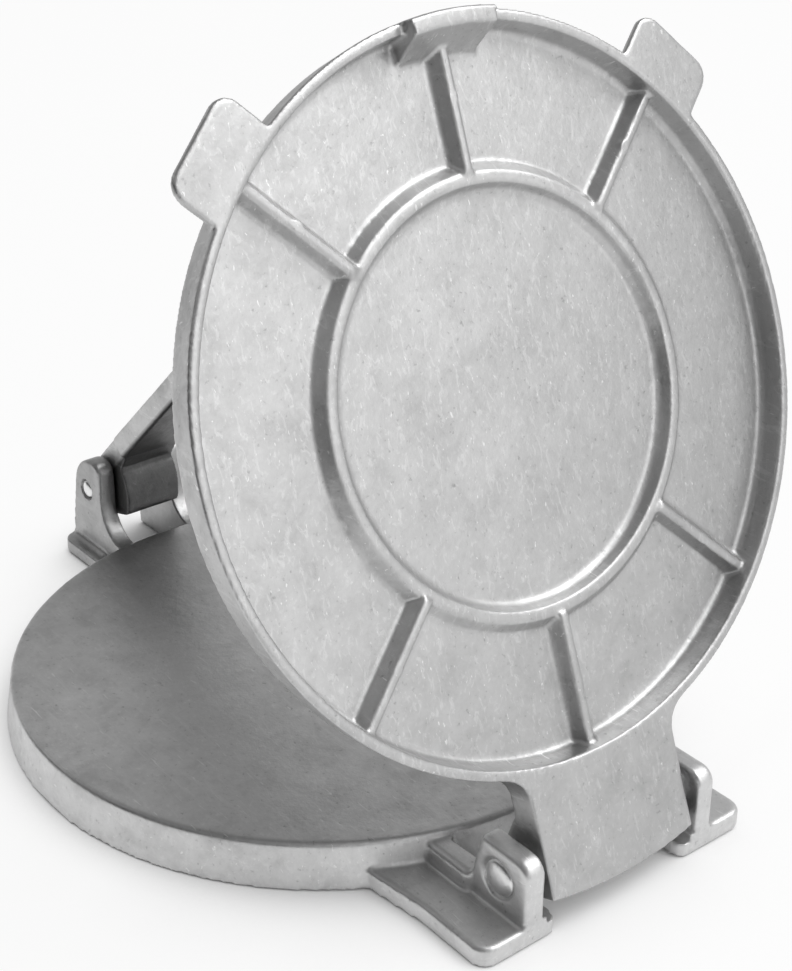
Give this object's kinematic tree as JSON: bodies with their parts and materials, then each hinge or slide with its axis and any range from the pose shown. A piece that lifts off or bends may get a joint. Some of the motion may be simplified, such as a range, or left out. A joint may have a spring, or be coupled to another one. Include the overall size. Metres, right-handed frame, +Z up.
{
  "type": "tortilla press",
  "caption": "Hand press with a round base plate, a hinged round lid with ribs and lifting tabs, and a hinged lever opposite, all cast aluminium, shown open with the lid leaning on the lever.",
  "frame": {"origin": "on the ground under the middle of the round base plate, which is also the middle of the whole part's length and width", "axes": "+X from the lid's hinge to the lever's pivot, +Z up, +Y by the right-hand rule; both hinge pins lie along Y"},
  "size_m": [0.2678, 0.2044, 0.2251],
  "materials": {
    "base_cast": "tumbled casting",
    "lid_cast": "tumbled casting",
    "lever_cast": "tumbled casting",
    "pin_steel": "bright ends"
  },
  "bodies": {
    "base": {"base_casting": "base_cast", "hinge_pin": "pin_steel", "lever_pin": "pin_steel"},
    "lid": {"lid_casting": "lid_cast"},
    "lever": {"lever_casting": "lever_cast"}
  },
  "joints": [
    {"name": "lid_hinge", "type": "hinge", "parent": "base", "child": "lid", "pos_m": [-0.1205, 0, 0.0157], "axis": [0, -1, 0], "range_deg": [-69, 22]},
    {"name": "lever_pivot", "type": "hinge", "parent": "base", "child": "lever", "pos_m": [0.121, 0, 0.0275], "axis": [0, 1, 0], "range_deg": [-44, 138]}
  ],
  "couplings": [
    {"joint": "lever_pivot", "follows": "lid_hinge", "ratio": -2}
  ]
}
